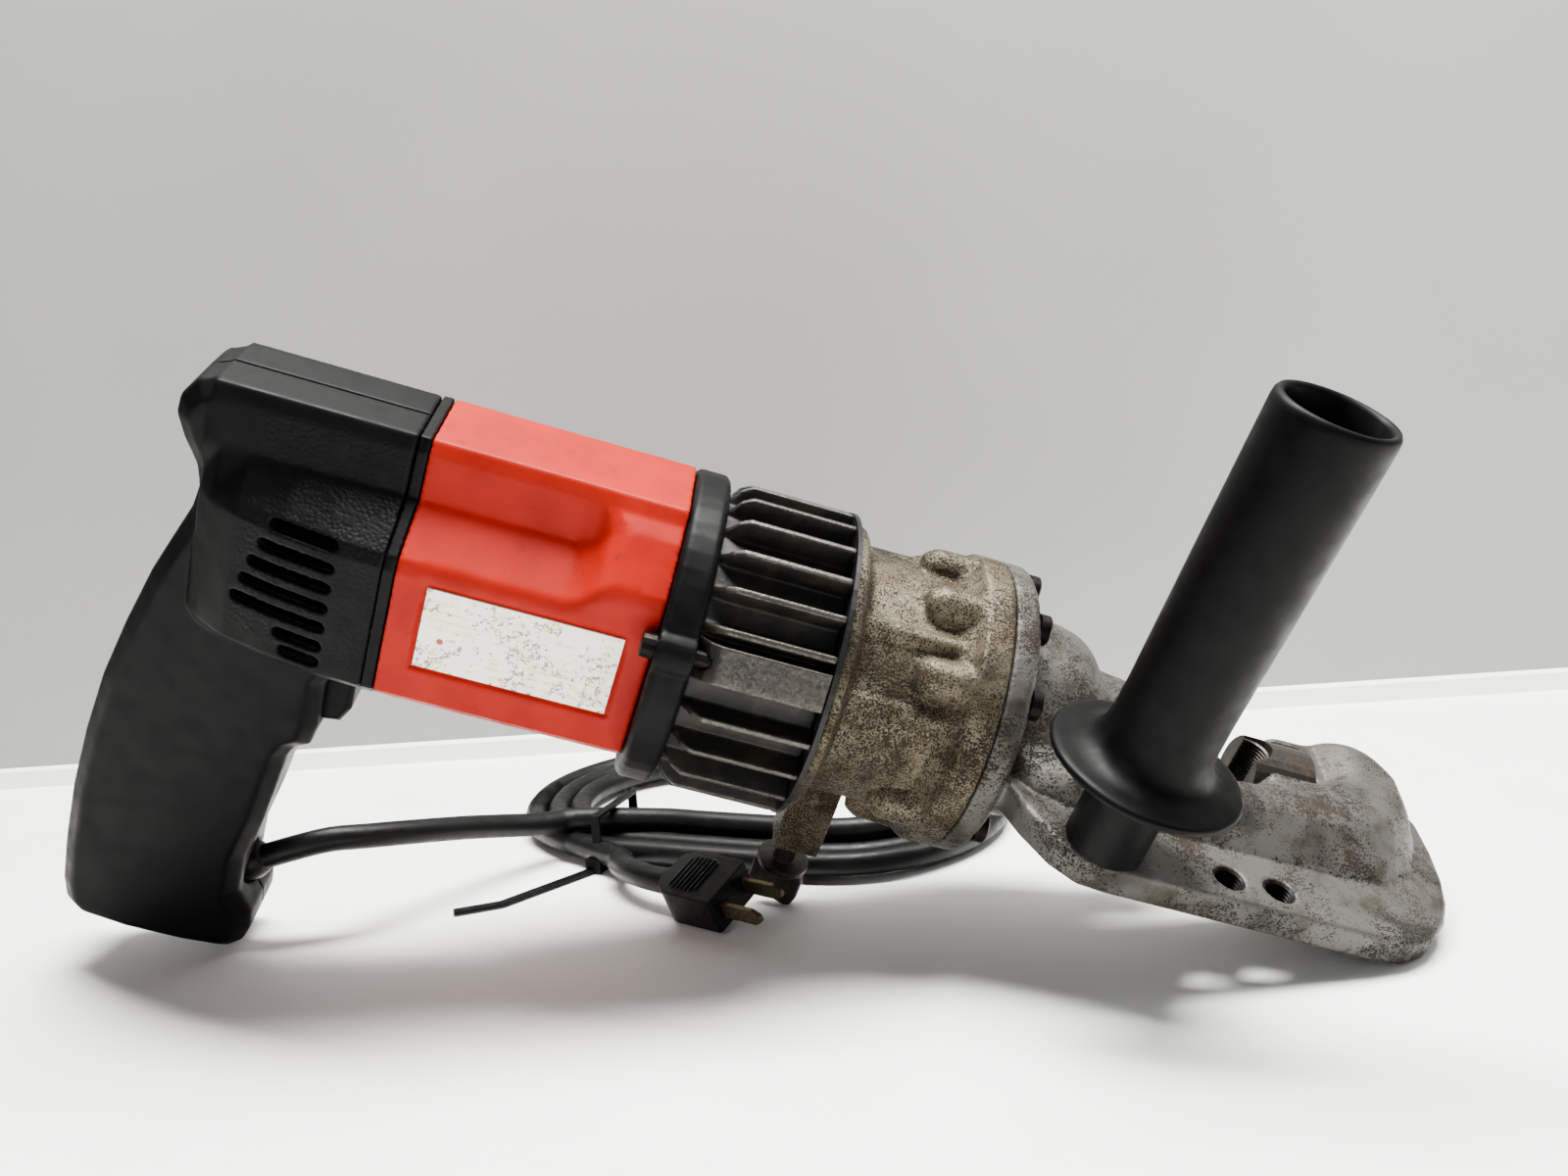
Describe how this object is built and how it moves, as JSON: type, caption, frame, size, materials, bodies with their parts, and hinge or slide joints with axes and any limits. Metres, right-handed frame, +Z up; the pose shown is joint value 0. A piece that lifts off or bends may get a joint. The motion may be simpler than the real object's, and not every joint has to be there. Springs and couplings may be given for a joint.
{
  "type": "electric hydraulic rod cutter",
  "caption": "Portable mains-powered hydraulic cutter for steel rod: pistol grip, motor, finned pump case, cylinder and an open C-shaped cutting head with a tubular side handle.",
  "frame": {"origin": "on the floor, below the middle of the tool's own box (the mains lead and its plug left out)", "axes": "+Z up; +X towards the cutting head, along the floor under the motor axis; +Y towards the side the head opens to. The tool lies on its grip toe, head rim and release key, nose down 20.7 degrees and leaning 20.9 degrees to its right"},
  "size_m": [0.4688, 0.3414, 0.2133],
  "materials": {
    "orange_plastic": "smooth moulded plastic, slightly worn",
    "black_plastic": "fine-textured moulded plastic",
    "cast_metal": "weathered casting, dark speckle",
    "cylinder_metal": "weathered cast aluminium, dark speckle",
    "finned_metal": "black paint worn off the fin edges",
    "bracket_metal": "satin black paint",
    "tool_steel": "hardened tool steel, dull",
    "screw_steel": "black oxide",
    "laminations": "stacked steel sheet",
    "copper": "machined copper",
    "bright_steel": "ground steel",
    "brass": "stamped brass",
    "carbon": "dull black",
    "oil_rubber": "soft black rubber",
    "cord_rubber": "smooth black rubber",
    "white_plate": "printed white plate, blank"
  },
  "bodies": {
    "tool_body": {"bracket_screw_1": "screw_steel", "bracket_screw_2": "screw_steel", "bracket_screw_3": "screw_steel", "brush_holder_left": "brass", "brush_holder_right": "brass", "cable_tie": "black_plastic", "carbon_brush_left": "carbon", "carbon_brush_right": "carbon", "case_gasket": "oil_rubber", "cord_coil": "cord_rubber", "cord_lead": "cord_rubber", "cord_sleeve": "cord_rubber", "cord_tail": "cord_rubber", "cylinder_housing": "cylinder_metal", "fixed_die": "tool_steel", "front_bearing": "bright_steel", "front_bracket": "bracket_metal", "handle_left_half": "black_plastic", "handle_right_half": "black_plastic", "handle_stud": "bright_steel", "head_frame": "cast_metal", "head_screw_1": "screw_steel", "head_screw_2": "screw_steel", "head_screw_3": "screw_steel", "head_screw_4": "screw_steel", "head_screw_5": "screw_steel", "head_screw_6": "screw_steel", "head_screw_7": "screw_steel", "head_screw_8": "screw_steel", "motor_housing": "orange_plastic", "oil_bladder": "oil_rubber", "plug_blade_1": "brass", "plug_blade_2": "brass", "plug_body": "cord_rubber", "pump_block": "cylinder_metal", "pump_case": "finned_metal", "rating_plate": "white_plate", "rear_bearing": "bright_steel", "rear_bracket": "black_plastic", "return_spring": "bright_steel", "side_handle": "black_plastic", "stator": "laminations", "switch_body": "carbon"},
    "armature": {"armature_core": "laminations", "armature_shaft": "bright_steel", "commutator": "copper", "cooling_fan": "black_plastic"},
    "eccentric": {"eccentric_shaft": "bright_steel", "eccentric_bearing": "bright_steel", "drive_gear": "tool_steel"},
    "plunger": {"pump_plunger": "bright_steel"},
    "trigger": {"trigger": "black_plastic"},
    "release_key": {"release_key": "tool_steel"},
    "ram": {"piston": "bright_steel", "piston_seal": "oil_rubber", "moving_die": "tool_steel"}
  },
  "joints": [
    {"name": "armature_spin", "type": "hinge", "parent": "tool_body", "child": "armature", "pos_m": [-0.05179, 0.02588, 0.12884], "axis": [0.9351, 0, -0.3543], "continuous": true},
    {"name": "eccentric_spin", "type": "hinge", "parent": "tool_body", "child": "eccentric", "pos_m": [-0.00184, 0.03252, 0.09133], "axis": [0.9351, 0, -0.3543], "continuous": true},
    {"name": "plunger_stroke", "type": "slide", "parent": "tool_body", "child": "plunger", "axis": [-0.331, 0.3567, -0.8736], "range_m": [0, 0.003], "stiffness_N_per_m": 300},
    {"name": "trigger_press", "type": "slide", "parent": "tool_body", "child": "trigger", "axis": [-0.9351, 0, 0.3543], "range_m": [0, 0.006], "stiffness_N_per_m": 900, "springref_m": -0.004},
    {"name": "release_key_turn", "type": "hinge", "parent": "tool_body", "child": "release_key", "pos_m": [0.02347, 0.0521, 0.0269], "axis": [0.331, -0.3567, 0.8736], "range_deg": [0, 90]},
    {"name": "ram_stroke", "type": "slide", "parent": "tool_body", "child": "ram", "axis": [0.9351, 0, -0.3543], "range_m": [0, 0.02], "stiffness_N_per_m": 1500, "springref_m": -0.01, "deforming": ["return_spring"]}
  ],
  "couplings": [
    {"joint": "eccentric_spin", "follows": "armature_spin", "ratio": -0.29167}
  ]
}
